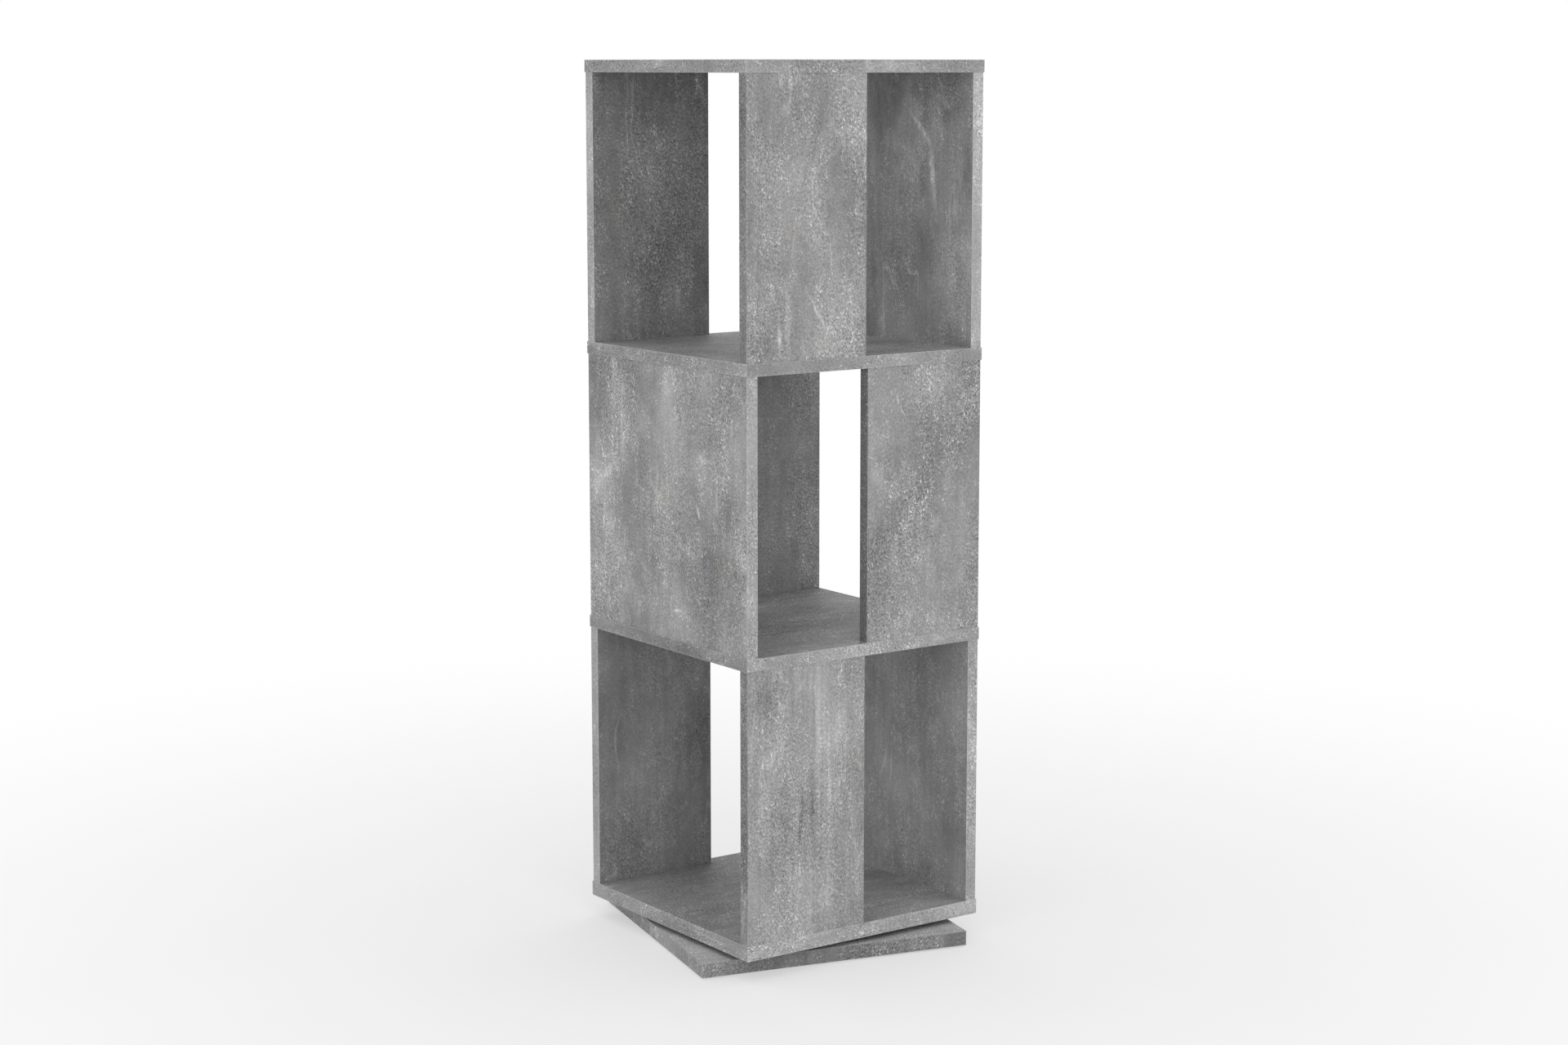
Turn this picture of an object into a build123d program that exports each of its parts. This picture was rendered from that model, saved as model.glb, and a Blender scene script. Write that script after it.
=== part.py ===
from build123d import *
import os

os.makedirs("parts", exist_ok=True)

# Revolving bookcase: a square tower of three open tiers that turns on a ball-bearing ring above a square
# base plate. Millimetres. Z points up, the origin is on the floor under the middle of the base, and the
# walls of the tower are square to X and Y. "Front" is the -Y side, "left" is the -X side.

# Boards, walls and tiers
board_side = 345.0          # base plate, bottom board, shelves and top board are all this square
base_plate_t = 18.0
bottom_board_t = 18.0
shelf_t = 15.0
top_board_t = 15.0
tier_count = 3
tier_clear_h = 328.0        # takes a 318 mm lever-arch file
panel_t = 15.0
half_panel_w = 170.0
panel_setback = 1.0         # how far the walls stand in from the boards' edges
base_turn = -13.15          # degrees that the base plate is turned from the tower, at rest

# Plastic edging on every cut edge that shows
edging_t = 0.8
edge_round = 0.5

# Glides under the base plate
glide_d = 26.0
glide_t = 2.0
glide_inset = 32.0          # from the base plate's edges to a glide's centre
glide_chamfer = 0.5
glide_pin_d = 3.0
glide_pin_h = 10.0

# Turntable: two flat rings with balls between them
turntable_h = 6.5           # from the base plate to the bottom board
ball_circle_d = 150.0
ball_d = 4.0
ball_count = 24
ring_w = 22.0               # width of each ring, seen from above
ring_face_gap = 0.5         # from each ring to the board that turns past it
ring_split = 1.4            # space between the two rings
race_clearance = 0.15       # from a ball to its races and its pocket
cage_t = 0.8
cage_face_gap = 0.55        # from the cage to the boards above and below it

# Bolts from under the base plate into the tapped inner ring
ring_fixing_count = 6       # bolts in the inner ring, and screws in the outer ring
bolt_d = 5.0
bolt_head_d = 10.0
bolt_length = 22.0
bolt_recess = 1.0
bolt_drive = 3.0            # across the flats of the hexagon socket
bolt_point_h = 0.5
bolt_tip_d = 4.0

# Screws from under the outer ring into the bottom board
ring_screw_d = 4.0
ring_screw_head_d = 7.6
ring_screw_length = 16.0
ring_screw_recess = 0.2
ring_screw_drive = 2.0
ring_screw_point_h = 2.5
ring_screw_tip_d = 0.6

# Connecting screws through the boards into the ends of the walls, and their cover caps
screw_d = 6.3
screw_head_d = 10.0
screw_length = 48.0
screw_drive = 4.0
screw_point_h = 2.0
screw_tip_d = 4.0
cap_d = 12.0
cap_t = 1.2
cap_stub_h = 1.8
full_panel_screw_count = 2
half_panel_screw_count = 1

# Wooden dowels between boards and walls
dowel_d = 8.0
dowel_length = 30.0
dowel_in_board = 10.0
dowel_inset = 25.0          # from a wall's end to its last dowel
dowel_chamfer = 0.8
full_panel_dowel_count = 3
half_panel_dowel_count = 2

# Fits
hole_fit = 0.05             # radial clearance of screws, dowels, pins and caps in their holes
drill_spare = 1.0           # how much deeper than its pin or screw a blind hole is
drive_depth = 2.5           # depth of a screw's hexagon socket

# Heights
base_z = glide_t
turntable_z = base_z + base_plate_t
bottom_z = turntable_z + turntable_h
ball_z = turntable_z + turntable_h / 2

# Plan sizes
panel_span = board_side - 2 * panel_setback
panel_line = (panel_span - panel_t) / 2
ball_circle_r = ball_circle_d / 2
ring_h = turntable_h - ring_face_gap
inner_face_r = ball_circle_r - ring_split / 2
outer_face_r = ball_circle_r + ring_split / 2
race_r = ball_d / 2 + race_clearance

down = Rot(180, 0, 0)
base_frame = Rot(0, 0, base_turn)


def save(node, *pieces):
    solids = [solid for piece in pieces for solid in piece.solids()]
    export_step(Compound(solids), f"parts/{node}.step")


def turned(*profile):
    # A solid of revolution about Z from its (radius, height) outline.
    outline = Polyline([(r, 0, z) for r, z in profile], close=True)
    return revolve(make_face(outline), Axis.Z)


def ring(inner_r, outer_r, bottom, height):
    corners = [(inner_r, bottom), (outer_r, bottom), (outer_r, bottom + height), (inner_r, bottom + height)]
    return turned(*corners)


def around(count, radius, height, start=0):
    # Frames evenly spaced on a circle, each with X pointing outwards.
    return [Rot(0, 0, start + 360 * i / count) * Pos(radius, 0, height) for i in range(count)]


def spread(count, reach):
    # Offsets of count pieces from -reach to +reach.
    if count == 1:
        return [0.0]
    return [reach * (2 * i / (count - 1) - 1) for i in range(count)]


def shared_out(count, length):
    # Offsets of count pieces, each in the middle of its share of the length.
    return [length * ((i + 0.5) / count - 0.5) for i in range(count)]


def hexagon_prism(across_flats, depth):
    return extrude(RegularPolygon(across_flats / 2, 6, major_radius=False), depth)


def countersunk(diameter, head_d, length, drive, point_h, tip_d):
    # A countersunk screw with its head face on the origin, pointing down.
    r, head_r = diameter / 2, head_d / 2
    shank = [(0, 0), (head_r, 0), (r, r - head_r), (r, point_h - length)]
    body = turned(*shank, (tip_d / 2, -length), (0, -length))
    return body - Pos(0, 0, -drive_depth) * hexagon_prism(drive, drive_depth)


def countersunk_hole(diameter, head_d, length, recess, recess_d):
    # The hole for such a screw, with a straight recess of recess_d above its head.
    r, head_r = diameter / 2 + hole_fit, head_d / 2 + hole_fit
    deep = length + drill_spare
    cone = turned((0, 0), (head_r, 0), (r, r - head_r), (r, -deep), (0, -deep))
    return cone + Pos(0, 0, recess / 2) * Cylinder(recess_d / 2 + hole_fit, recess)


def edged_board(thickness, z):
    # The board between its edgings, and the four strips of edging: two run past the ends of the others.
    core_side = board_side - 2 * edging_t
    whole = Pos(0, 0, z + thickness / 2) * Box(board_side, board_side, thickness)
    whole = fillet(whole.edges(), edge_round)
    middle = z + thickness / 2
    core = Pos(0, 0, middle) * Box(core_side, core_side, thickness)
    strip_line = (board_side - edging_t) / 2
    strips = []
    for side in (-1, 1):
        strips.append(whole & Pos(side * strip_line, 0, middle) * Box(edging_t, board_side, thickness))
        strips.append(whole & Pos(0, side * strip_line, middle) * Box(core_side, edging_t, thickness))
    return core, strips


def edged_wall(width):
    # A wall along X, standing on the origin, and its two upright strips of edging.
    whole = Pos(0, 0, tier_clear_h / 2) * Box(width, panel_t, tier_clear_h)
    whole = fillet(whole.edges().filter_by(Axis.Z), edge_round)
    core = Pos(0, 0, tier_clear_h / 2) * Box(width - 2 * edging_t, panel_t, tier_clear_h)
    strip = Box(edging_t, panel_t, tier_clear_h)
    strip_line = (width - edging_t) / 2
    strips = [whole & Pos(side * strip_line, 0, tier_clear_h / 2) * strip for side in (-1, 1)]
    return core, strips


def board_thickness(level):
    if level == 0:
        return bottom_board_t
    return top_board_t if level == tier_count else shelf_t


def board_bottom(level):
    # Level 0 is the bottom board, the highest level is the top board.
    if level == 0:
        return bottom_z
    return bottom_z + bottom_board_t + level * tier_clear_h + (level - 1) * shelf_t


def floor_of(tier):
    return board_bottom(tier - 1) + board_thickness(tier - 1)


def tier_walls(tier):
    # Each wall's name, width, place on its floor, and how many screws and dowels each end has.
    # The full wall stands opposite the open side, and the half walls stand next to the open side.
    # The tiers take turns: odd ones open to the left, even ones to the right.
    open_side = -1 if tier % 2 else 1
    floor = floor_of(tier)
    half_x = open_side * (panel_span - half_panel_w) / 2
    full_place = Pos(-open_side * panel_line, 0, floor) * Rot(0, 0, 90)
    front_place = Pos(half_x, -panel_line, floor)
    rear_place = Pos(half_x, panel_line, floor)
    return [
        ("full_panel", panel_span, full_place, full_panel_screw_count, full_panel_dowel_count),
        ("front_panel", half_panel_w, front_place, half_panel_screw_count, half_panel_dowel_count),
        ("rear_panel", half_panel_w, rear_place, half_panel_screw_count, half_panel_dowel_count),
    ]


def joint_frames(tier, end, kind):
    # Where a tier's screws or dowels cross into the board above or below: one frame for each,
    # with Z pointing from the wall's end into the board.
    frames = []
    for name, width, place, screws, dowels in tier_walls(tier):
        offsets = shared_out(screws, width) if kind == "screw" else spread(dowels, width / 2 - dowel_inset)
        turn = Pos(0, 0, tier_clear_h) if end == "upper" else down
        frames += [place * Pos(offset, 0, 0) * turn for offset in offsets]
    return frames


def joint_level(tier, end):
    return tier if end == "upper" else tier - 1


def wall_screws(tier, end):
    head_z = board_thickness(joint_level(tier, end)) - cap_t
    screw = countersunk(screw_d, screw_head_d, screw_length, screw_drive, screw_point_h, screw_tip_d)
    return [frame * Pos(0, 0, head_z) * screw for frame in joint_frames(tier, end, "screw")]


def wall_caps(tier, end):
    # A cap lies flush in the recess above the screw, with a stub in the screw's socket.
    head_z = board_thickness(joint_level(tier, end)) - cap_t
    cap = Pos(0, 0, cap_t / 2) * Cylinder(cap_d / 2, cap_t)
    cap += Pos(0, 0, -cap_stub_h) * hexagon_prism(screw_drive - 2 * hole_fit, cap_stub_h)
    return [frame * Pos(0, 0, head_z) * cap for frame in joint_frames(tier, end, "screw")]


def wall_dowels(tier, end):
    dowel = chamfer(Cylinder(dowel_d / 2, dowel_length).edges().filter_by(GeomType.CIRCLE), dowel_chamfer)
    centre = dowel_in_board - dowel_length / 2
    return [frame * Pos(0, 0, centre) * dowel for frame in joint_frames(tier, end, "dowel")]


def wall_holes(tier, end):
    # Everything drilled at one end of a tier's walls, through the joint into board and wall.
    head_z = board_thickness(joint_level(tier, end)) - cap_t
    screw_hole = countersunk_hole(screw_d, screw_head_d, screw_length, cap_t, cap_d)
    dowel_hole = Cylinder(dowel_d / 2 + hole_fit, dowel_length + drill_spare)
    centre = dowel_in_board - dowel_length / 2
    holes = [frame * Pos(0, 0, head_z) * screw_hole for frame in joint_frames(tier, end, "screw")]
    holes += [frame * Pos(0, 0, centre) * dowel_hole for frame in joint_frames(tier, end, "dowel")]
    return holes


def bolt_frames():
    # Z points down, out of the base plate's underside, so the bolts point up.
    radius = inner_face_r - ring_w / 2
    return [base_frame * frame * down for frame in around(ring_fixing_count, radius, base_z + bolt_recess)]


def ring_screw_frames():
    # Half a step round from the bolts.
    radius = outer_face_r + ring_w / 2
    head_z = bottom_z - ring_h + ring_screw_recess
    half_step = 180 / ring_fixing_count
    return [frame * down for frame in around(ring_fixing_count, radius, head_z, start=half_step)]


def glide_frames():
    reach = board_side / 2 - glide_inset
    return [base_frame * Pos(x * reach, y * reach, 0) for x in (-1, 1) for y in (-1, 1)]


def glide():
    r, pin_r = glide_d / 2, glide_pin_d / 2
    pin_top = glide_t + glide_pin_h
    rim = [(0, 0), (r - glide_chamfer, 0), (r, glide_chamfer), (r, glide_t), (pin_r, glide_t)]
    return turned(*rim, (pin_r, pin_top - pin_r), (0, pin_top))


def make_base():
    core, strips = edged_board(base_plate_t, base_z)
    core, strips = base_frame * core, [base_frame * strip for strip in strips]
    # The bolt holes run from the base plate's underside through the ring.
    drilled = base_plate_t - bolt_recess + ring_h
    bolt_hole = countersunk_hole(bolt_d, bolt_head_d, drilled, bolt_recess, bolt_head_d)
    pin_hole = Cylinder(glide_pin_d / 2 + hole_fit, 2 * (glide_pin_h + drill_spare))
    bolt_holes = [frame * bolt_hole for frame in bolt_frames()]
    pin_holes = [frame * Pos(0, 0, base_z) * pin_hole for frame in glide_frames()]
    save("base_plate", core - bolt_holes - pin_holes)
    save("base_plate_edging", *strips)
    save("base_glides", *[frame * glide() for frame in glide_frames()])
    bolt = countersunk(bolt_d, bolt_head_d, bolt_length, bolt_drive, bolt_point_h, bolt_tip_d)
    save("inner_ring_bolts", *[frame * bolt for frame in bolt_frames()])
    return bolt_holes


def make_turntable(bolt_holes):
    race = Pos(0, 0, ball_z) * Torus(ball_circle_r, race_r)
    inner = ring(inner_face_r - ring_w, inner_face_r, turntable_z, ring_h)
    save("turntable_inner_ring", inner - race - bolt_holes)

    outer = ring(outer_face_r, outer_face_r + ring_w, bottom_z - ring_h, ring_h)
    screw_hole = countersunk_hole(
        ring_screw_d, ring_screw_head_d, ring_screw_length, ring_screw_recess, ring_screw_head_d
    )
    screw_holes = [frame * screw_hole for frame in ring_screw_frames()]
    save("turntable_outer_ring", outer - race - screw_holes)
    screw = countersunk(
        ring_screw_d, ring_screw_head_d, ring_screw_length, ring_screw_drive, ring_screw_point_h,
        ring_screw_tip_d,
    )
    save("outer_ring_screws", *[frame * screw for frame in ring_screw_frames()])

    ball_places = around(ball_count, ball_circle_r, ball_z)
    pocket = Rot(0, 90, 0) * Cylinder(race_r, 2 * ring_split)
    cage_r = ball_circle_r - cage_t / 2
    cage_h = turntable_h - 2 * cage_face_gap
    cage = ring(cage_r, cage_r + cage_t, turntable_z + cage_face_gap, cage_h)
    save("ball_cage", cage - [place * pocket for place in ball_places])
    save("turntable_balls", *[place * Sphere(ball_d / 2) for place in ball_places])
    return screw_holes


def make_boards(ring_screw_holes):
    for level in range(tier_count + 1):
        name = f"shelf_{level}"
        if level == 0:
            name = "bottom_board"
        elif level == tier_count:
            name = "top_board"
        core, strips = edged_board(board_thickness(level), board_bottom(level))
        holes = []
        if level > 0:
            holes += wall_holes(level, "upper")
        if level < tier_count:
            holes += wall_holes(level + 1, "lower")
        if level == 0:
            holes += ring_screw_holes
        save(name, core - holes)
        save(f"{name}_edging", *strips)


def make_tier(tier):
    holes = wall_holes(tier, "lower") + wall_holes(tier, "upper")
    for name, width, place, screws, dowels in tier_walls(tier):
        core, strips = edged_wall(width)
        save(f"tier_{tier}_{name}", place * core - holes)
        save(f"tier_{tier}_{name}_edging", *[place * strip for strip in strips])
    for end in ("lower", "upper"):
        save(f"tier_{tier}_{end}_screws", *wall_screws(tier, end))
        save(f"tier_{tier}_{end}_dowels", *wall_dowels(tier, end))
        if joint_level(tier, end) > 0:
            save(f"tier_{tier}_{end}_caps", *wall_caps(tier, end))


bolt_holes = make_base()
ring_screw_holes = make_turntable(bolt_holes)
make_boards(ring_screw_holes)
for tier in range(1, tier_count + 1):
    make_tier(tier)
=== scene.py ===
import math
from functools import reduce
import bpy
import numpy as np
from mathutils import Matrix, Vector


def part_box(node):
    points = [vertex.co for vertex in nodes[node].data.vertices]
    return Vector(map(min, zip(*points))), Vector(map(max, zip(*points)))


# A revolving bookcase in a plain studio: three tiers of boards and walls covered with a printed concrete
# finish, on a ball-bearing turntable over a square base plate. Metres, Z up, in the CAD part's own frame.

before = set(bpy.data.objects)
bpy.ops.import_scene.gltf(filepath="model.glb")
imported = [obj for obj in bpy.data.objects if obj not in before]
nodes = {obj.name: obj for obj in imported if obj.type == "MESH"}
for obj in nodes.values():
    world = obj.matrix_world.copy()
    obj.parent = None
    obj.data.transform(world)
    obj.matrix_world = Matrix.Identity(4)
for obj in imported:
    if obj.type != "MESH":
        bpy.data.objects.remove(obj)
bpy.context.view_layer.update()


# Helpers that put nodes into a shader tree and wire them up.

editorGrid = {"across": 170, "down": 60, "rows": 7}    # how new nodes are spread out in the editor


def addNode(tree, kind, **settings):
    count = len(tree.nodes)
    node = tree.nodes.new(kind)
    node.location = (editorGrid["across"] * count, -editorGrid["down"] * (count % editorGrid["rows"]))
    for name, value in settings.items():
        setattr(node, name, value)
    return node


def feed(tree, socket, value):
    # A socket is linked, anything else is set as the socket's own value.
    if isinstance(value, bpy.types.NodeSocket):
        tree.links.new(value, socket)
    else:
        socket.default_value = value


def feedNamed(tree, node, values):
    for name, value in values.items():
        feed(tree, node.inputs[name], value)


def inUse(sockets):
    # The sockets that a node has with its present settings.
    return [socket for socket in sockets if socket.enabled]


def wired(tree, kind, *values, **settings):
    # Adds a node, gives its inputs the values in their order, and hands back its first output.
    node = addNode(tree, kind, **settings)
    for socket, value in zip(inUse(node.inputs), values):
        feed(tree, socket, value)
    return inUse(node.outputs)[0]


def calc(tree, operation, *values, clamp=False):
    return wired(tree, "ShaderNodeMath", *values, operation=operation, use_clamp=clamp)


def vectorCalc(tree, operation, *values):
    return wired(tree, "ShaderNodeVectorMath", *values, operation=operation)


def addUp(tree, *values):
    return reduce(lambda total, value: calc(tree, "ADD", total, value), values)


def multiply(tree, *values):
    return reduce(lambda total, value: calc(tree, "MULTIPLY", total, value), values)


def partsOf(tree, vector):
    node = addNode(tree, "ShaderNodeSeparateXYZ")
    feed(tree, node.inputs[0], vector)
    return node.outputs


def distance(tree, x, y):
    # How far x and y lead away from zero.
    return calc(tree, "SQRT", addUp(tree, multiply(tree, x, x), multiply(tree, y, y)))


def moved(tree, place, offset=(0, 0, 0), turn=(0, 0, 0), scale=(1, 1, 1)):
    return wired(tree, "ShaderNodeMapping", place, offset, turn, scale)


def between(tree, value, low, high, bottom=0.0, top=1.0):
    # A soft step: bottom where value is under low, top where it is over high.
    return wired(tree, "ShaderNodeMapRange", value, low, high, bottom, top, interpolation_type="SMOOTHSTEP")


def blendColours(tree, factor, first, second):
    return wired(tree, "ShaderNodeMix", factor, first, second, data_type="RGBA")


def noise(tree, place, size, stretch=1, detail=1, roughness=0.5, warp=0, seed=0, shift=(0, 0, 0)):
    # Noise with blots of that size in metres, drawn out by stretch along Y, and shifted in blots.
    start = [seed + step for step in shift]
    spot = moved(tree, place, start, scale=(1 / size, 1 / (size * stretch), 1 / size))
    node = addNode(tree, "ShaderNodeTexNoise")
    feedNamed(tree, node, {"Vector": spot, "Scale": 1.0, "Detail": detail, "Roughness": roughness,
                           "Distortion": warp})
    return node.outputs["Fac"]


noiseMiddle = 0.5    # the level that a noise swings about


def swing(tree, pattern, amount):
    # A noise's swing to both sides of its middle level, times an amount.
    return multiply(tree, calc(tree, "SUBTRACT", pattern, noiseMiddle), amount)


def ridge(tree, pattern, width):
    # Turns a noise into thin worm-like lines: 1 on its middle level, 0 beyond width from it.
    off = calc(tree, "ABSOLUTE", calc(tree, "SUBTRACT", pattern, noiseMiddle))
    return between(tree, off, 0.0, width, 1.0, 0.0)


def newGroup(name, inputs, outputs):
    # inputs and outputs hold (label, kind, starting value).
    group = bpy.data.node_groups.new(name, "ShaderNodeTree")
    for side, sockets in (("INPUT", inputs), ("OUTPUT", outputs)):
        for label, kind, value in sockets:
            socket = group.interface.new_socket(label, in_out=side, socket_type="NodeSocket" + kind)
            if value is not None:
                socket.default_value = value
    start = addNode(group, "NodeGroupInput")
    end = addNode(group, "NodeGroupOutput")
    return group, start.outputs, end.inputs


def useGroup(tree, group, **values):
    node = addNode(tree, "ShaderNodeGroup", node_tree=group)
    feedNamed(tree, node, values)
    return node.outputs


def emptyMaterial(name):
    # A material without nodes, its tree, and the coordinates of the piece that wears it.
    material = bpy.data.materials.new(name)
    material.use_nodes = True
    tree = material.node_tree
    tree.nodes.clear()
    return material, tree, addNode(tree, "ShaderNodeTexCoord").outputs["Object"]


def newMaterial(name, settings):
    material, tree, spot = emptyMaterial(name)
    shader = addNode(tree, "ShaderNodeBsdfPrincipled")
    feedNamed(tree, shader, settings)
    output = addNode(tree, "ShaderNodeOutputMaterial")
    feed(tree, output.inputs[0], shader.outputs[0])
    return material, tree, shader.inputs, spot


reliefStrength = 0.5    # how much of its depth any relief shows


def addRelief(tree, inputs, height, depth):
    bump = addNode(tree, "ShaderNodeBump")
    feedNamed(tree, bump, {"Strength": reliefStrength, "Distance": depth, "Height": height})
    feed(tree, inputs["Normal"], bump.outputs[0])


def dress(name, material):
    for slot in nodes[name].material_slots:
        slot.material = material


# The concrete print: one decor for walls, boards, edgings and caps.

concretePrint = {
    # A blot's size across the sheet in metres, how much longer it is along it, and the noise's own values.
    "layers": {
        "cloud": dict(size=0.085, stretch=1.5, detail=3, roughness=0.55, seed=3.1),
        "streak": dict(size=0.013, stretch=11, detail=2, seed=23.9),
        "band": dict(size=0.0055, stretch=26, detail=2, seed=7.7),
        "mottle": dict(size=0.010, stretch=2.2, detail=2, roughness=0.6, seed=13.3),
        "grain": dict(size=0.0018, stretch=1.5, seed=1.9),
        "patch": dict(size=0.095, stretch=1.7, detail=3, roughness=0.55, seed=11.3),
        "flake": dict(size=0.0024, stretch=1.4, detail=2, roughness=0.65, warp=0.6, seed=5.3),
        "curl": dict(size=0.0060, stretch=1.5, detail=2, warp=0.8, seed=43),
        "curlBreak": dict(size=0.0024, stretch=1.4, seed=47),
        "curlPlace": dict(size=0.022, stretch=1.6, detail=2, roughness=0.6, seed=17),
        "vein": dict(size=0.075, stretch=3.2, detail=3, roughness=0.45, warp=0.2, seed=29),
        "veinPlace": dict(size=0.06, stretch=1.5, seed=31),
        "warmth": dict(size=0.05, stretch=1.5, detail=2, seed=37),
    },
    # Soft steps: from and to which level of a layer, and what they become, where that isn't 0 and 1.
    "steps": {
        "patch": (0.38, 0.62, 0.36, 1.05),
        "flake": (0.53, 0.70),
        "sprinkle": (0.36, 0.66, 0.35, 1.35),
        "curlBreak": (0.44, 0.60),
        "curlPlace": (0.50, 0.62),
        "veinPlace": (0.50, 0.66),
        "warmth": (0.60, 0.85, 0.0, 0.008),
    },
    # The tone and each layer's strength, in display values, where a piece has none of its own.
    "amounts": dict(tone=0.57, cloud=0.30, streak=0.085, band=0.06, mottle=0.055, grain=0.47, white=0.24,
                    curl=0.18, dark=0.165, vein=0.09),
    "streaksInPatches": 0.30,    # how far the streaks break the patches up
    "shadowShift": (0.30, 0.45, 0.30),    # a dark flake is a white one's shadow, this share of it away
    "curlWidth": 0.045,
    "veinWidth": 0.014,
    "shadeLimits": (0.08, 0.93),
    "displayGamma": 2.2,
    "grainGloss": 0.5,
}


def makeConcreteGroup():
    # Every layer is a shade difference in display values, added to the tone; the sum is then made linear.
    made = concretePrint
    inputs = [("place", "Vector", None)]
    inputs += [(name, "Float", amount) for name, amount in made["amounts"].items()]
    outputs = [("colour", "Color", None), ("relief", "Float", None), ("gloss", "Float", None)]
    group, source, result = newGroup("concretePrint", inputs, outputs)
    spot = source["place"]
    layer = {name: noise(group, spot, **shape) for name, shape in made["layers"].items()}

    def step(name, pattern):
        return between(group, pattern, *made["steps"][name])

    # The speckle: grain with white flakes and dark flakes, dense in rough patches and nearly gone
    # elsewhere.
    # The dark flakes are painted shadows of the white ones, set a little off them.
    streaky = made["streaksInPatches"]
    patch = addUp(group, multiply(group, layer["patch"], 1 - streaky),
                  multiply(group, layer["streak"], streaky))
    rough = step("patch", patch)
    # Painted shadows of the white flakes: the same noise, moved by shadowShift.
    shadow = noise(group, spot, shift=made["shadowShift"], **made["layers"]["flake"])
    white = multiply(group, step("flake", layer["flake"]), step("sprinkle", layer["mottle"]), rough)
    dark = multiply(group, step("flake", shadow), rough)
    # Larger broken curls lie in a few clusters, and long veins are drawn only here and there.
    curls = multiply(group, ridge(group, layer["curl"], made["curlWidth"]),
                     step("curlBreak", layer["curlBreak"]), step("curlPlace", layer["curlPlace"]))
    veins = multiply(group, ridge(group, layer["vein"], made["veinWidth"]),
                     step("veinPlace", layer["veinPlace"]))

    shade = addUp(
        group,
        source["tone"],
        *[swing(group, layer[name], source[name]) for name in ("cloud", "streak", "band", "mottle")],
        multiply(group, swing(group, layer["grain"], source["grain"]), rough),
        multiply(group, white, source["white"]),
        multiply(group, curls, source["curl"]),
        multiply(group, dark, -1.0, source["dark"]),
        multiply(group, veins, source["vein"]),
    )
    darkest, lightest = made["shadeLimits"]
    shade = calc(group, "MINIMUM", calc(group, "MAXIMUM", shade, darkest), lightest)
    # A breath of warmth in some clouds: more red and less blue.
    warmth = step("warmth", layer["warmth"])
    colour = wired(group, "ShaderNodeCombineColor", calc(group, "ADD", shade, warmth), shade,
                   calc(group, "SUBTRACT", shade, warmth))
    feed(group, result["colour"], wired(group, "ShaderNodeGamma", colour, made["displayGamma"]))
    feed(group, result["relief"], calc(group, "SUBTRACT", white, dark))
    grainGloss = multiply(group, layer["grain"], made["grainGloss"])
    feed(group, result["gloss"], calc(group, "ADD", grainGloss, white, clamp=True))
    return group


concreteGroup = makeConcreteGroup()

edgeWearAndHighlight = {
    "ragged": dict(size=0.004, detail=2, roughness=0.6, seed=41),
    "raggedSwing": 2.0,    # the reach is multiplied by the ragged noise, which averages 0.5, times this
}


def makeEdgeWearAndHighlightGroup():
    # A painted highlight along the edges of a box-shaped piece, where its rounded edging would catch the
    # light, with a light rub of wear. The distance to the nearest edge is the middle one of the three
    # distances from a point to the box's faces.
    inputs = [("place", "Vector", None), ("low", "Vector", None), ("high", "Vector", None),
              ("reach", "Float", 0.0015)]
    group, source, result = newGroup("edgeWearAndHighlight", inputs, [("mask", "Float", None)])
    gaps = []
    for here, low, high in zip(*[partsOf(group, source[name]) for name in ("place", "low", "high")]):
        fromLow = calc(group, "SUBTRACT", here, low)
        fromHigh = calc(group, "SUBTRACT", high, here)
        gaps.append(calc(group, "ABSOLUTE", calc(group, "MINIMUM", fromLow, fromHigh)))
    smaller = calc(group, "MINIMUM", gaps[0], gaps[1])
    larger = calc(group, "MAXIMUM", gaps[0], gaps[1])
    middle = calc(group, "MAXIMUM", smaller, calc(group, "MINIMUM", larger, gaps[2]))
    ragged = multiply(group, noise(group, source["place"], **edgeWearAndHighlight["ragged"]), edgeWearAndHighlight["raggedSwing"])
    # How far in from the edges the painted highlight and wear reach.
    worn = calc(group, "DIVIDE", middle, multiply(group, source["reach"], ragged))
    feed(group, result["mask"], calc(group, "SUBTRACT", 1.0, worn, clamp=True))
    return group


edgeWearAndHighlightGroup = makeEdgeWearAndHighlightGroup()

sideStripsAway = 5.0    # metres on the sheet from the end strips' stretches to the side strips'


def makeEdgeRunGroup():
    # Coordinates for the strips round a square board: Y runs along each strip, X across its thickness, and
    # each of the four strips reads its own stretch of the print.
    group, source, result = newGroup("edgeRun", [("place", "Vector", None)],
                                     [("place", "Vector", None), ("onSide", "Float", None)])
    x, y, z = partsOf(group, source["place"])
    onSide = calc(group, "GREATER_THAN", calc(group, "ABSOLUTE", x), calc(group, "ABSOLUTE", y))
    onEnd = calc(group, "SUBTRACT", 1.0, onSide)
    along = addUp(group, multiply(group, onSide, y), multiply(group, onEnd, x))
    outward = addUp(group, multiply(group, onSide, x), multiply(group, onEnd, y))
    strip = addUp(group, calc(group, "SIGN", outward), multiply(group, onSide, sideStripsAway))
    run = wired(group, "ShaderNodeCombineXYZ", z, addUp(group, along, strip), strip)
    feed(group, result["place"], run)
    feed(group, result["onSide"], onSide)
    return group


edgeRunGroup = makeEdgeRunGroup()
print("print and edge groups ready")

decorFinish = {
    "shader": {"Specular IOR Level": 0.4},
    "roughness": (0.62, 0.46),    # over the smooth parts, over the white flakes
    "reliefDepth": 0.00006,
    # The edges are blended towards this light colour: a painted highlight on the rounded edging, with some
    # wear.
    "rubAndHighlightStrength": 0.35,
    "rubAndHighlightColour": (0.62, 0.62, 0.61, 1),
    "rubAndHighlightReach": 0.0012,
}
uprightSheet = (-math.pi / 2, 0, 0)    # the print runs up the walls,
lengthwiseSheet = (0, 0, math.pi / 2)    # from left to right on the boards,
stripSheet = (0, 0, 0)    # and along a board's edging


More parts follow.
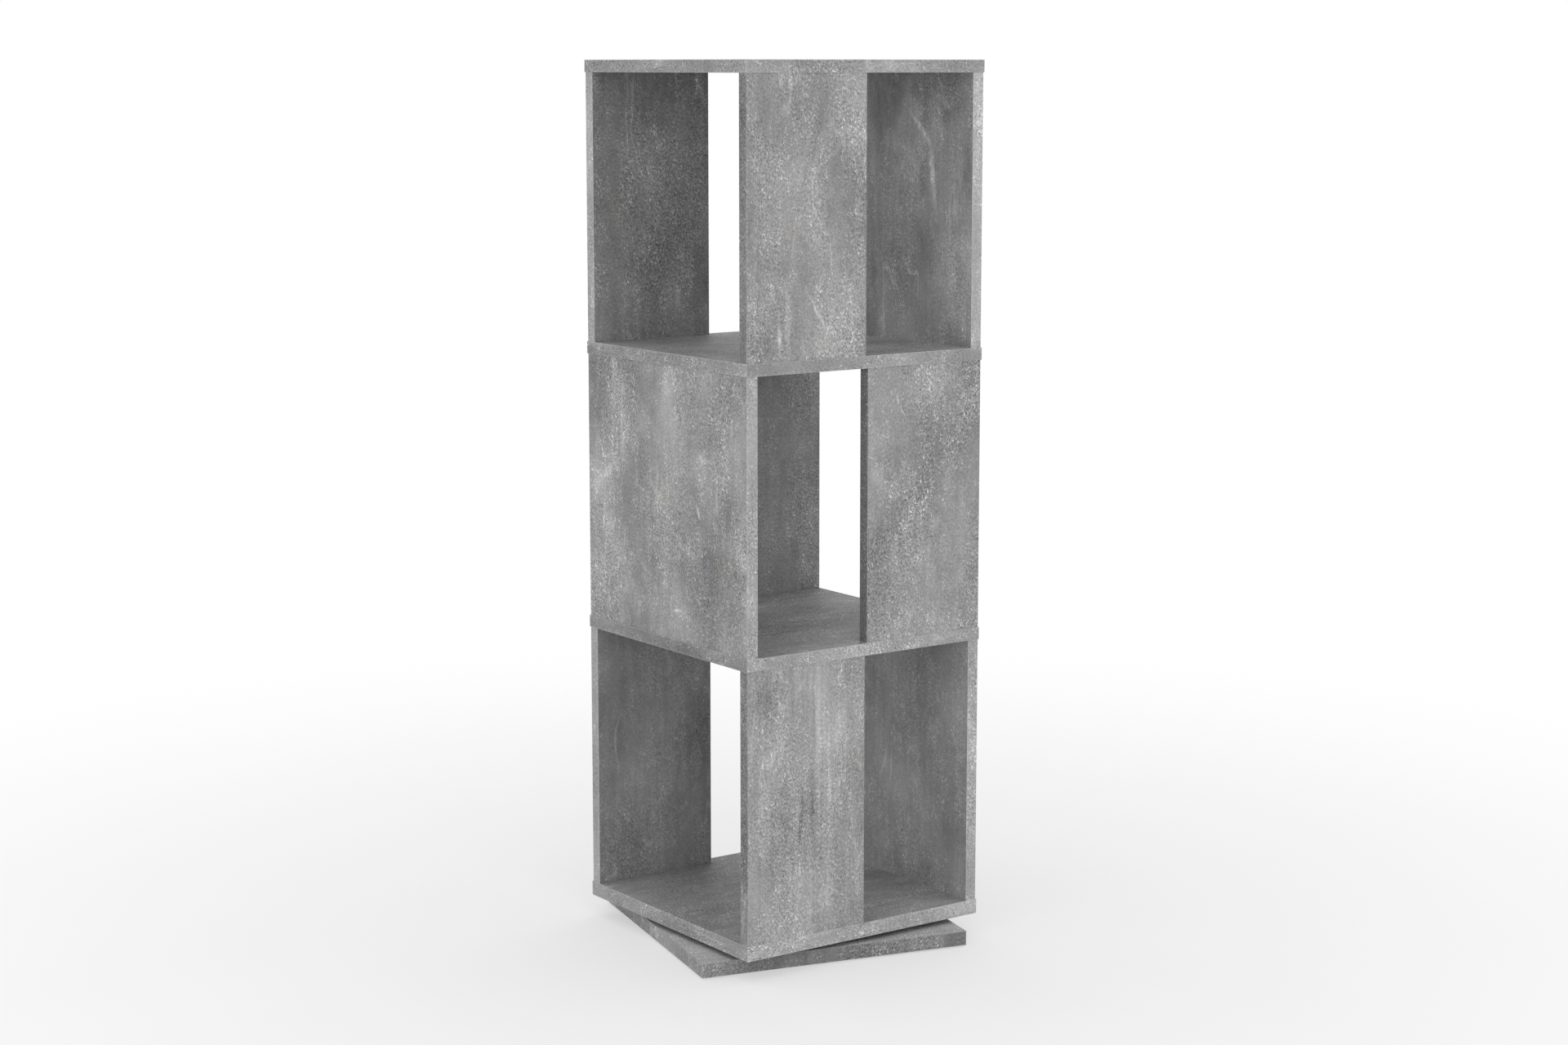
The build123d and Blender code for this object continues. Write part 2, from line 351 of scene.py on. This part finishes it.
def finishDecor(material, tree, inputs, sheet, tone, rubAndHighlight=None, **amounts):
    colour, relief, gloss = useGroup(tree, concreteGroup, place=sheet, tone=tone, **amounts)
    # Lightens the edges: painted highlight and wear.
    if rubAndHighlight is not None:
        rubAndHighlight = multiply(tree, rubAndHighlight, decorFinish["rubAndHighlightStrength"])
        colour = blendColours(tree, rubAndHighlight, colour, decorFinish["rubAndHighlightColour"])
    feed(tree, inputs["Base Color"], colour)
    feed(tree, inputs["Roughness"], between(tree, gloss, 0.0, 1.0, *decorFinish["roughness"]))
    addRelief(tree, inputs, relief, decorFinish["reliefDepth"])
    return material


# The mask of the edges' painted highlight and wear.
def edgeRubAndHighlight(tree, place, box):
    low, high = box
    reach = decorFinish["rubAndHighlightReach"]
    return useGroup(tree, edgeWearAndHighlightGroup, place=place, low=low, high=high, reach=reach)["mask"]


baseTurn = math.radians(-13.15)    # how the base plate stands under the tower at rest
printSheet = {"seed": 12, "ends": (2.0, 30.0)}    # for the cuts' random draws, and in metres
sheetCuts = np.random.default_rng(printSheet["seed"])


def nextCut():
    # Where on the long printed sheet the next piece is cut from.
    return tuple(float(x) for x in sheetCuts.uniform(*printSheet["ends"], 3))


def boxOf(name, boardTurn=0.0):
    # A piece's box. A turned board's is given unturned, and is as wide as the boards of the tower.
    low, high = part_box(name)
    if boardTurn:
        side = nodes["top_board_edging"].dimensions.x / 2
        return (-side, -side, low.z), (side, side, high.z)
    return tuple(low), tuple(high)


def unturned(tree, spot, boardTurn):
    return moved(tree, spot, turn=(0, 0, -boardTurn)) if boardTurn else spot


# The walls: a full one and two half ones in each tier, each with edging on its upright edges.

wallPrint = {
    "sheetDepth": 5.0,    # where in the depth of the print the walls' outer faces lie, in metres
    # The tones of the faces and of the upright edges, with painted light and shade in them: lighter tones
    # where a face or edge should look lit, darker ones where it should look shaded, such as the front
    # panels' edges and the rear panels' faces.
    "usual": {
        "full_panel": dict(tone=0.57, edgeTone=0.665),
        "front_panel": dict(tone=0.59, edgeTone=0.47),
        "rear_panel": dict(tone=0.545, edgeTone=0.63),
    },
    # What some walls have of their own: where on the sheet their lower left corner was cut, in metres,
    # their tones, which hold painted light and shade as above, and layers that are stronger or weaker
    # there.
    "own": {
        "tier_1_full_panel": dict(cut=(8.77, 6.96), layers=dict(white=0.15, dark=0.10, grain=0.32)),
        "tier_1_front_panel": dict(cut=(11.83, 4.26), tone=0.612, layers=dict(
            cloud=0.34, streak=0.15, band=0.11, white=0.19, dark=0.12)),
        "tier_1_rear_panel": dict(layers=dict(white=0.15, dark=0.10, grain=0.32)),
        "tier_2_full_panel": dict(cut=(2.65, 6.85), tone=0.577, edgeTone=0.635, layers=dict(
            cloud=0.45, curl=0.22, streak=0.04)),
        "tier_2_front_panel": dict(cut=(11.77, 9.22), tone=0.577, layers=dict(
            white=0.29, dark=0.17, grain=0.52, cloud=0.38, streak=0.05)),
        "tier_3_full_panel": dict(cut=(10.62, 8.62), layers=dict(
            white=0.17, dark=0.12, grain=0.34, cloud=0.45)),
        "tier_3_front_panel": dict(cut=(4.77, 8.29)),
        "tier_3_rear_panel": dict(cut=(8.09, 8.26), tone=0.53),
    },
}

# Trowel strokes that the sheet shows on these walls, and a few broad marks of painted light and shade:
# millimetres right and up from the lower left corner, half length, half width, lean to the right in
# degrees, and how much lighter or darker.
trowelStrokes = {
    "tier_1_front_panel": [
        (100, 228, 100, 5, 0, 0.055), (115, 190, 65, 7, 0, 0.05), (131, 246, 38, 8, 10, 0.05),
        (76, 142, 50, 3.5, 6, -0.09), (91, 150, 36, 4, 5, -0.06), (115, 58, 60, 2.5, 0, 0.06),
        (154, 108, 32, 2, -12, 0.06), (75, 74, 26, 3, -5, 0.05), (30, 290, 34, 22, 0, -0.04),
        (97, 280, 45, 2, 0, 0.06), (80, 50, 50, 50, 0, 0.03),
    ],
    "tier_2_full_panel": [
        (20, 190, 62, 38, 0, 0.03), (60, 300, 40, 8, 0, 0.05), (75, 240, 58, 4, 0, 0.06),
        (54, 235, 32, 4, 0, 0.05), (40, 186, 34, 8, 55, 0.06), (45, 125, 16, 22, 0, 0.055),
        (32, 130, 26, 2, 5, 0.10), (60, 58, 50, 60, 0, 0.02), (100, 42, 52, 14, -24, 0.035),
        (176, 290, 52, 16, 0, 0.035), (210, 245, 62, 11, 0, 0.035), (281, 186, 30, 2.2, 0, 0.10),
        (274, 196, 30, 4, 0, -0.05), (300, 170, 40, 30, 0, -0.02), (275, 60, 42, 22, 0, -0.02),
        (216, 111, 28, 9, -62, 0.06), (331, 114, 20, 14, 0, 0.07), (197, 36, 12, 2.6, 80, 0.15),
        (241, 160, 11, 3.5, -25, 0.14), (247, 222, 10, 8, 0, 0.09), (217, 60, 10, 3.5, -25, 0.09),
        (140, 90, 18, 18, 0, -0.05), (312, 264, 15, 2.5, 0, 0.08), (335, 70, 12, 6, 30, 0.07),
    ],
    "tier_2_front_panel": [
        (20, 87, 24, 2, 68, 0.07), (80, 245, 16, 1.8, 92, 0.06), (101, 135, 15, 8, 40, 0.08),
        (88, 255, 30, 10, 0, -0.03), (40, 57, 13, 1.6, -75, 0.09), (43, 290, 11, 1.6, -10, 0.12),
        (51, 271, 9, 1.6, -40, 0.12), (68, 165, 24, 1.6, 0, 0.06), (15, 200, 15, 12, 0, 0.05),
        (40, 100, 30, 12, 0, 0.03), (88, 102, 12, 10, 0, 0.03),
    ],
    # On this wall the broad dark stroke at the upper left (170, 310) is painted shade under the top board,
    # and the long broad light one at the right (310, 200) is painted light.
    "tier_3_full_panel": [
        (241, 262, 34, 5, -47, 0.15), (266, 202, 46, 6, -8, 0.15), (292, 115, 66, 26, 0, 0.05),
        (248, 190, 48, 12, 0, -0.05), (214, 215, 38, 30, 0, 0.035), (274, 275, 36, 18, -20, 0.07),
        (170, 200, 90, 16, 0, -0.02), (170, 310, 50, 46, 0, -0.06), (310, 200, 120, 22, 0, 0.04),
        (232, 285, 26, 12, -47, 0.05), (310, 30, 34, 26, 0, 0.04),
    ],
    "tier_3_front_panel": [
        (90, 240, 100, 7, 17, -0.045), (45, 28, 32, 2.5, 0, 0.13), (56, 46, 54, 5, -3, 0.075),
        (95, 60, 34, 2.5, -30, 0.10), (85, 222, 22, 14, 20, 0.03), (150, 256, 24, 18, 0, 0.04),
        (106, 24, 24, 14, 0, 0.03), (64, 128, 30, 3, 5, 0.05), (20, 285, 40, 22, 0, -0.02),
    ],
}
millimetre = 0.001

strokeRims = {
    "fade": (0.25, 1.15),    # where a stroke starts to fade and where it ends, in half widths and lengths
    "sway": dict(size=0.008, stretch=4, detail=3, roughness=0.6),    # how the rims wander
    "swaySeeds": (51, 57),    # across and along the sheet
    "swayReach": 0.007,
    "breaks": dict(size=0.005, stretch=3, detail=2, seed=63),
    "breaksStep": (0.3, 0.7, 0.5, 1.5),
    "farSide": (0.3, 0.7),    # in wall thicknesses: between these the strokes grow faint
    "farStrength": 0.4,
}


def makeTrowelGroup():
    # One soft trowel stroke: an oval round the centre, leaning to the right, fading out to its rim.
    inputs = [("place", "Vector", None), ("centre", "Vector", None), ("lean", "Float", 0.0),
              ("halfLength", "Float", 0.05), ("halfWidth", "Float", 0.005), ("shade", "Float", 0.05)]
    group, source, result = newGroup("trowelStroke", inputs, [("shade", "Float", None)])
    away = vectorCalc(group, "SUBTRACT", source["place"], source["centre"])
    turned = wired(group, "ShaderNodeVectorRotate", away, (0, 0, 0), source["lean"], rotation_type="Z_AXIS")
    x, y, z = partsOf(group, turned)
    spread = distance(group, calc(group, "DIVIDE", x, source["halfWidth"]),
                      calc(group, "DIVIDE", y, source["halfLength"]))
    mask = between(group, spread, *strokeRims["fade"], 1.0, 0.0)
    feed(group, result["shade"], multiply(group, mask, source["shade"]))
    return group


trowelGroup = makeTrowelGroup()


def printStrokes(tree, sheet, name, cut):
    # Adds up a wall's trowel strokes, with ragged rims and uneven strength.
    along, up = cut
    if name.endswith("full_panel"):
        inward, upward, sideways = partsOf(tree, sheet)
        sheet = wired(tree, "ShaderNodeCombineXYZ", sideways, upward, inward)
    onWall = moved(tree, sheet, (-along, -up, -wallPrint["sheetDepth"]))
    sway = [swing(tree, noise(tree, sheet, seed=seed, **strokeRims["sway"]), strokeRims["swayReach"])
            for seed in strokeRims["swaySeeds"]]
    flat = vectorCalc(tree, "MULTIPLY", onWall, (1, 1, 0))
    ragged = vectorCalc(tree, "ADD", flat, wired(tree, "ShaderNodeCombineXYZ", *sway))
    strokes = []
    for right, above, halfLength, halfWidth, lean, shade in trowelStrokes[name]:
        centre = (right * millimetre, above * millimetre, 0)
        stroke = useGroup(tree, trowelGroup, place=ragged, centre=centre, lean=math.radians(lean),
                          halfLength=halfLength * millimetre, halfWidth=halfWidth * millimetre,
                          shade=shade)
        strokes.append(stroke["shade"])
    broken = between(tree, noise(tree, sheet, **strokeRims["breaks"]), *strokeRims["breaksStep"])
    # The wall's other side has them only faintly.
    start, end = [share * min(nodes[name].dimensions) for share in strokeRims["farSide"]]
    depth = calc(tree, "ABSOLUTE", partsOf(tree, onWall)[2])
    faint = between(tree, depth, start, end, 1.0, strokeRims["farStrength"])
    return multiply(tree, addUp(tree, *strokes), multiply(tree, broken, faint))


def wallOffset(name, cut):
    # Brings the wall's lower left corner to its cut of the sheet.
    along, up = cut
    low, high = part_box(name)
    depth = wallPrint["sheetDepth"]
    if name.endswith("full_panel"):
        return depth - low.x, up - low.z, along + high.y
    return along - low.x, up - low.z, depth + low.y


def wallFace(name, wall):
    material, tree, inputs, spot = newMaterial(name, decorFinish["shader"])
    tone, cut = wall["tone"], wall.get("cut")
    offset = wallOffset(name, cut) if cut else nextCut()
    sheet = moved(tree, spot, offset, uprightSheet)
    if name in trowelStrokes:
        tone = calc(tree, "ADD", tone, printStrokes(tree, sheet, name, cut))
    return finishDecor(material, tree, inputs, sheet, tone, **wall.get("layers", {}))


def wallEdge(name, offset, tone):
    material, tree, inputs, spot = newMaterial(name, decorFinish["shader"])
    rubAndHighlight = edgeRubAndHighlight(tree, spot, boxOf(name))
    return finishDecor(material, tree, inputs, moved(tree, spot, offset, uprightSheet), tone, rubAndHighlight)


tierNames = sorted({name.split("_")[1] for name in nodes if name.endswith("_full_panel")})
for tier in tierNames:
    for kind, usual in wallPrint["usual"].items():
        name = f"tier_{tier}_{kind}"
        wall = {**usual, **wallPrint["own"].get(name, {})}
        dress(name, wallFace(name, wall))
        dress(name + "_edging", wallEdge(name + "_edging", nextCut(), wall["edgeTone"]))
print("walls finished:", len(tierNames) * len(wallPrint["usual"]))

# The boards, and the base plate, whose edging has the print across it.

boardPrint = {
    # Tones of the face, of the strips that face left and right, and of those that face front and back:
    # lit and shaded copies of the print, lighter or darker as painted light and shade for the way each
    # looks.
    # The base plate's face is painted lighter against the shade the tower casts on it.
    "tones": {
        "base_plate": (0.70, 0.58, 0.505),
        "bottom_board": (0.56, 0.60, 0.665),
        "shelf_1": (0.565, 0.54, 0.64),
        "shelf_2": (0.575, 0.585, 0.615),
        "top_board": (0.575, 0.582, 0.60),
    },
    "edgeLayers": dict(white=0.28, dark=0.19),
}


def boardFace(name, offset, tone, boardTurn=0.0):
    material, tree, inputs, spot = newMaterial(name, decorFinish["shader"])
    sheet = moved(tree, unturned(tree, spot, boardTurn), offset, lengthwiseSheet)
    return finishDecor(material, tree, inputs, sheet, tone)


def boardEdge(name, offset, sideTone, endTone, boardTurn=0.0):
    material, tree, inputs, spot = newMaterial(name, decorFinish["shader"])
    square = unturned(tree, spot, boardTurn)
    run, onSide = useGroup(tree, edgeRunGroup, place=square)
    sheet = moved(tree, run, offset, lengthwiseSheet if boardTurn else stripSheet)
    # Side strips and end strips get their own tones: painted light and shade by facing.
    tone = between(tree, onSide, 0.0, 1.0, endTone, sideTone)
    rubAndHighlight = edgeRubAndHighlight(tree, square, boxOf(name, boardTurn))
    return finishDecor(material, tree, inputs, sheet, tone, rubAndHighlight, **boardPrint["edgeLayers"])


for name, (faceTone, sideTone, endTone) in boardPrint["tones"].items():
    boardTurn = baseTurn if name == "base_plate" else 0.0
    dress(name, boardFace(name, nextCut(), faceTone, boardTurn))
    dress(name + "_edging", boardEdge(name + "_edging", nextCut(), sideTone, endTone, boardTurn))
print("boards finished:", len(boardPrint["tones"]))


# The turntable, fasteners, dowels and caps.

handling = {
    "smudge": dict(size=0.012, detail=3, roughness=0.6, seed=2.2),
    "smudgeStep": (0.35, 0.7),
    "scratches": dict(size=0.009, stretch=3, detail=2, seed=6.1),
    "crossing": dict(size=0.009, stretch=4, seed=9.4),
    "crossingTurn": (0.6, 0.9, 1.1),
    "scratchWidth": 0.012,
    "scratchPlace": dict(size=0.006, seed=12.5),
    "scratchStep": (0.48, 0.62),
    "grain": dict(size=0.0005, detail=2, roughness=0.7, seed=15),
}


def makeHandlingGroup():
    # What handling leaves on metal and plastic: soft smudges, and hair-thin scratches in all directions.
    inputs = [("place", "Vector", None), ("closeness", "Float", 1.0)]
    outputs = [("smudge", "Float", None), ("scratch", "Float", None), ("grain", "Float", None)]
    group, source, result = newGroup("handling", inputs, outputs)
    spot = vectorCalc(group, "SCALE", source["place"], source["closeness"])
    crossed = moved(group, spot, turn=handling["crossingTurn"])
    lines = [ridge(group, noise(group, spot, **handling["scratches"]), handling["scratchWidth"]),
             ridge(group, noise(group, crossed, **handling["crossing"]), handling["scratchWidth"])]
    kept = between(group, noise(group, spot, **handling["scratchPlace"]), *handling["scratchStep"])
    smudge = between(group, noise(group, spot, **handling["smudge"]), *handling["smudgeStep"])
    feed(group, result["smudge"], smudge)
    feed(group, result["scratch"], multiply(group, calc(group, "MAXIMUM", *lines), kept))
    feed(group, result["grain"], noise(group, spot, **handling["grain"]))
    return group


handlingGroup = makeHandlingGroup()

ringMetal = {
    "shader": {"Metallic": 1.0},
    "colour": (0.60, 0.61, 0.62, 1),
    "worn": (0.74, 0.74, 0.74, 1),
    "roughness": (0.30, 0.48),
    "dulling": (0.3, 1.5),    # the smudges and grain that take it from one to the other
    "grooves": dict(size=0.0006, detail=2, roughness=0.8, seed=4),
    "grooveStep": (0.55, 0.75),
    "grooveDepth": 0.00003,
}


def turnedMetal(name):
    # Rings turned on a lathe: fine grooves at constant radius round the tower's axis.
    material, tree, inputs, spot = newMaterial(name, ringMetal["shader"])
    smudge, scratch, grain = useGroup(tree, handlingGroup, place=spot)
    x, y, z = partsOf(tree, spot)
    section = wired(tree, "ShaderNodeCombineXYZ", distance(tree, x, y), 0.0, z)
    grooves = noise(tree, section, **ringMetal["grooves"])
    wear = calc(tree, "MAXIMUM", scratch, between(tree, grooves, *ringMetal["grooveStep"]))
    feed(tree, inputs["Base Color"], blendColours(tree, wear, ringMetal["colour"], ringMetal["worn"]))
    dull = between(tree, addUp(tree, smudge, grain), *ringMetal["dulling"], *ringMetal["roughness"])
    feed(tree, inputs["Roughness"], dull)
    addRelief(tree, inputs, grooves, ringMetal["grooveDepth"])
    return material


steel = {
    "shader": {"Metallic": 1.0},
    "closeness": 2.0,    # how many times finer the marks of handling are than on the rings
    "colour": (0.50, 0.51, 0.53, 1),
    "worn": (0.72, 0.72, 0.71, 1),
    "grainWear": 0.4,
    "roughness": (0.28, 0.50),
    "threadPitch": 0.0016,
    "threadDepth": 0.0004,
    "threadSwing": 0.5,    # the wave runs from 0 to twice this
}


def platedSteel(name):
    # Zinc-plated fasteners: the thread is a wave up the shank, which flat heads don't show.
    material, tree, inputs, spot = newMaterial(name, steel["shader"])
    smudge, scratch, grain = useGroup(tree, handlingGroup, place=spot, closeness=steel["closeness"])
    wear = calc(tree, "MAXIMUM", scratch, multiply(tree, grain, steel["grainWear"]))
    feed(tree, inputs["Base Color"], blendColours(tree, wear, steel["colour"], steel["worn"]))
    feed(tree, inputs["Roughness"], between(tree, smudge, 0.0, 1.0, *steel["roughness"]))
    turns = multiply(tree, partsOf(tree, spot)[2], 2 * math.pi / steel["threadPitch"])
    wave = multiply(tree, calc(tree, "SINE", turns), steel["threadSwing"])
    addRelief(tree, inputs, addUp(tree, wave, steel["threadSwing"]), steel["threadDepth"])
    return material


ballSteel = {
    "shader": {"Metallic": 1.0},
    "closeness": 4.0,
    "colour": (0.74, 0.75, 0.77, 1),
    "oiled": (0.60, 0.58, 0.52, 1),
    "roughness": (0.07, 0.22),
    "dulling": (0.0, 1.6),
}


def bearingSteel(name):
    # Polished balls under a film of grease.
    material, tree, inputs, spot = newMaterial(name, ballSteel["shader"])
    smudge, scratch = useGroup(tree, handlingGroup, place=spot, closeness=ballSteel["closeness"])[:2]
    feed(tree, inputs["Base Color"], blendColours(tree, smudge, ballSteel["colour"], ballSteel["oiled"]))
    dull = between(tree, addUp(tree, smudge, scratch), *ballSteel["dulling"], *ballSteel["roughness"])
    feed(tree, inputs["Roughness"], dull)
    return material


plastic = {
    "shader": {"Specular IOR Level": 0.45},
    "closeness": 1.5,
    "scratchTint": 0.7,
    "smudgeTint": 0.25,
    "dulling": (0.2, 1.5),
}
cageNylon = {
    "colour": (0.62, 0.60, 0.54, 1),
    "scuffed": (0.80, 0.79, 0.75, 1),
    "roughness": (0.38, 0.55),
    "grainDepth": 0.00002,
}
glidePlastic = {
    "colour": (0.045, 0.046, 0.048, 1),
    "scuffed": (0.16, 0.16, 0.16, 1),
    "roughness": (0.42, 0.66),
    "grainDepth": 0.00004,
}


def mouldedPlastic(name, colour, scuffed, roughness, grainDepth):
    # Fine eroded mould texture, with paler scuffs.
    material, tree, inputs, spot = newMaterial(name, plastic["shader"])
    smudge, scratch, grain = useGroup(tree, handlingGroup, place=spot, closeness=plastic["closeness"])
    scuffs = addUp(tree, multiply(tree, scratch, plastic["scratchTint"]),
                   multiply(tree, smudge, plastic["smudgeTint"]))
    feed(tree, inputs["Base Color"], blendColours(tree, scuffs, colour, scuffed))
    dull = between(tree, addUp(tree, smudge, grain), *plastic["dulling"], *roughness)
    feed(tree, inputs["Roughness"], dull)
    addRelief(tree, inputs, grain, grainDepth)
    return material


beech = {
    "shader": {"Roughness": 0.68},
    "light": (0.62, 0.43, 0.25, 1),
    "dark": (0.44, 0.27, 0.14, 1),
    "ray": (0.36, 0.20, 0.10, 1),
    "grain": dict(size=0.0014, stretch=14, detail=3, roughness=0.6, seed=3.3),
    "grainStep": (0.3, 0.7),
    "rays": dict(size=0.0007, stretch=4, seed=8.8),
    "rayStep": (0.64, 0.72),
    "grainDepth": 0.0001,
}


def beechWood(name):
    # Dowels stand upright, so the grain and the short dark rays run along Z.
    material, tree, inputs, spot = newMaterial(name, beech["shader"])
    upright = moved(tree, spot, turn=uprightSheet)
    grain = noise(tree, upright, **beech["grain"])
    rays = between(tree, noise(tree, upright, **beech["rays"]), *beech["rayStep"])
    wood = blendColours(tree, between(tree, grain, *beech["grainStep"]), beech["light"], beech["dark"])
    feed(tree, inputs["Base Color"], blendColours(tree, rays, wood, beech["ray"]))
    addRelief(tree, inputs, calc(tree, "SUBTRACT", grain, rays), beech["grainDepth"])
    return material


for name in ("turntable_inner_ring", "turntable_outer_ring"):
    dress(name, turnedMetal(name))
dress("turntable_balls", bearingSteel("turntable_balls"))
dress("ball_cage", mouldedPlastic("cageNylon", **cageNylon))
dress("base_glides", mouldedPlastic("glidePlastic", **glidePlastic))
fastenerSteel = platedSteel("fastenerSteel")
dowelWood = beechWood("dowelWood")
capTone = 0.575
for name in nodes:
    if name.endswith(("_screws", "_bolts")):
        dress(name, fastenerSteel)
    elif name.endswith("_dowels"):
        dress(name, dowelWood)
    elif name.endswith("_caps"):
        # Caps are punched from another spot of the same print.
        dress(name, boardFace(name, nextCut(), capTone))
print("turntable, fasteners, dowels and caps finished")


# The studio: a pale floor, a white sky, three soft lamps and the camera.

paleFloor = {
    "radius": 7.0,
    "centre": 0.02,
    "rings": 24,
    "spokes": 72,
    "colour": 0.86,
    "colourSwing": 0.01,
    "mottle": dict(size=0.4, detail=2, seed=2),
    "mottleStep": (0.2, 0.8),
    "whiteNear": 0.45,    # how far the floor is lifted to plain white at the object
    "whiteFade": (0.35, 1.9),    # from and to which radius the rest of it is faded out
    "openUnderBase": (0.008, 0.003),    # how far in from the base plate's edges it is open and is closed
}


def makeFloor():
    # A disc on a polar grid: x = r cos a, y = r sin a, with the angle closed on itself, and a flat middle.
    rings, spokes = paleFloor["rings"], paleFloor["spokes"]
    radius = np.linspace(paleFloor["centre"], paleFloor["radius"], rings)[:, None]
    angle = np.linspace(0, 2 * np.pi, spokes, endpoint=False)[None, :]
    points = np.stack([radius * np.cos(angle), radius * np.sin(angle), 0 * radius * angle], -1)
    row, column = np.meshgrid(np.arange(rings - 1), np.arange(spokes), indexing="ij")
    after = (column + 1) % spokes
    quads = np.stack([row * spokes + column, (row + 1) * spokes + column,
                      (row + 1) * spokes + after, row * spokes + after], -1)
    faces = quads.reshape(-1, 4).tolist() + [list(range(spokes))]
    mesh = bpy.data.meshes.new("floor")
    mesh.from_pydata(points.reshape(-1, 3).tolist(), [], faces)
    mesh.update()
    floor = bpy.data.objects.new("floor", mesh)
    bpy.context.collection.objects.link(floor)
    return floor


def seenDirectly(tree):
    # 1 for the camera's, mirrors' and glass's rays, 0 for those that light the object.
    path = addNode(tree, "ShaderNodeLightPath").outputs
    return calc(tree, "MAXIMUM", path["Is Camera Ray"],
                calc(tree, "MAXIMUM", path["Is Glossy Ray"], path["Is Transmission Ray"]))


def openUnderBase(tree, spot):
    # 1 under the base plate for all but the camera's rays: there the floor lets the light through.
    lightRay = calc(tree, "SUBTRACT", 1.0, addNode(tree, "ShaderNodeLightPath").outputs["Is Camera Ray"])
    x, y, z = partsOf(tree, unturned(tree, spot, baseTurn))
    reach = calc(tree, "MAXIMUM", calc(tree, "ABSOLUTE", x), calc(tree, "ABSOLUTE", y))
    halfSide = boxOf("base_plate_edging", baseTurn)[1][0]
    inner, outer = [halfSide - margin for margin in paleFloor["openUnderBase"]]
    return multiply(tree, lightRay, between(tree, reach, inner, outer, 1.0, 0.0))


def floorMaterial():
    material, tree, spot = emptyMaterial("paleFloor")
    away = between(tree, vectorCalc(tree, "LENGTH", spot), *paleFloor["whiteFade"], paleFloor["whiteNear"])
    dim, bright = [paleFloor["colour"] + sign * paleFloor["colourSwing"] for sign in (-1, 1)]
    level = between(tree, noise(tree, spot, **paleFloor["mottle"]), *paleFloor["mottleStep"], dim, bright)
    matt = wired(tree, "ShaderNodeBsdfDiffuse", level)
    white = wired(tree, "ShaderNodeEmission", (1, 1, 1, 1), 1.0)
    faded = wired(tree, "ShaderNodeMixShader", multiply(tree, away, seenDirectly(tree)), matt, white)
    # From below the floor isn't there.
    backfacing = addNode(tree, "ShaderNodeNewGeometry").outputs["Backfacing"]
    gone = calc(tree, "MAXIMUM", backfacing, openUnderBase(tree, spot))
    clear = wired(tree, "ShaderNodeBsdfTransparent")
    output = addNode(tree, "ShaderNodeOutputMaterial")
    feed(tree, output.inputs[0], wired(tree, "ShaderNodeMixShader", gone, faded, clear))
    return material


makeFloor().data.materials.append(floorMaterial())

skyLevel = 0.86    # what lights the object; the camera sees plain white instead


def makeSky():
    world = bpy.data.worlds.new("studioSky")
    bpy.context.scene.world = world
    world.use_nodes = True
    sky = world.node_tree
    sky.nodes.clear()
    light, white = [wired(sky, "ShaderNodeBackground", (1, 1, 1, 1), level) for level in (skyLevel, 1.0)]
    output = addNode(sky, "ShaderNodeOutputWorld")
    feed(sky, output.inputs[0], wired(sky, "ShaderNodeMixShader", seenDirectly(sky), light, white))


makeSky()

lamps = {
    # name: (place, watts, width in metres)
    "keyPanel": ((-1.2, -3.4, 2.6), 16.0, 2.2),
    "sidePanel": ((-3.6, -0.8, 2.2), 5.0, 2.2),
    "topPanel": ((0.6, 0.8, 3.4), 5.0, 2.0),
}
lampAim = Vector((0, 0, 0.5))


def addToScene(name, data, spot, look):
    # Lamps and the camera look along their own -Z, with Y up.
    thing = bpy.data.objects.new(name, data)
    thing.location = spot
    thing.rotation_euler = look.to_track_quat("-Z", "Y").to_euler()
    bpy.context.collection.objects.link(thing)
    return thing


for name, (spot, watts, width) in lamps.items():
    lamp = bpy.data.lights.new(name, "AREA")
    lamp.shape = "SQUARE"
    lamp.size = width
    lamp.energy = watts
    addToScene(name, lamp, spot, lampAim - Vector(spot))

cameraPlace = {
    "spot": (-2.028, -2.848, 1.067),
    "heading": 54.51,    # degrees from +X towards +Y
    "downTilt": 8.42,
    "lens": 66.1,    # millimetres, as is the sensor's width
    "sensorWidth": 36.0,
    "shiftY": -0.02,
}


def makeCamera():
    heading, tilt = math.radians(cameraPlace["heading"]), math.radians(cameraPlace["downTilt"])
    look = Vector((math.cos(heading) * math.cos(tilt), math.sin(heading) * math.cos(tilt), -math.sin(tilt)))
    camera = bpy.data.cameras.new("camera")
    camera.lens = cameraPlace["lens"]
    camera.sensor_width = cameraPlace["sensorWidth"]
    camera.shift_y = cameraPlace["shiftY"]
    bpy.context.scene.camera = addToScene("camera", camera, cameraPlace["spot"], look)


makeCamera()
bpy.context.scene.view_settings.view_transform = "Standard"
print("studio ready:", len(lamps), "lamps")
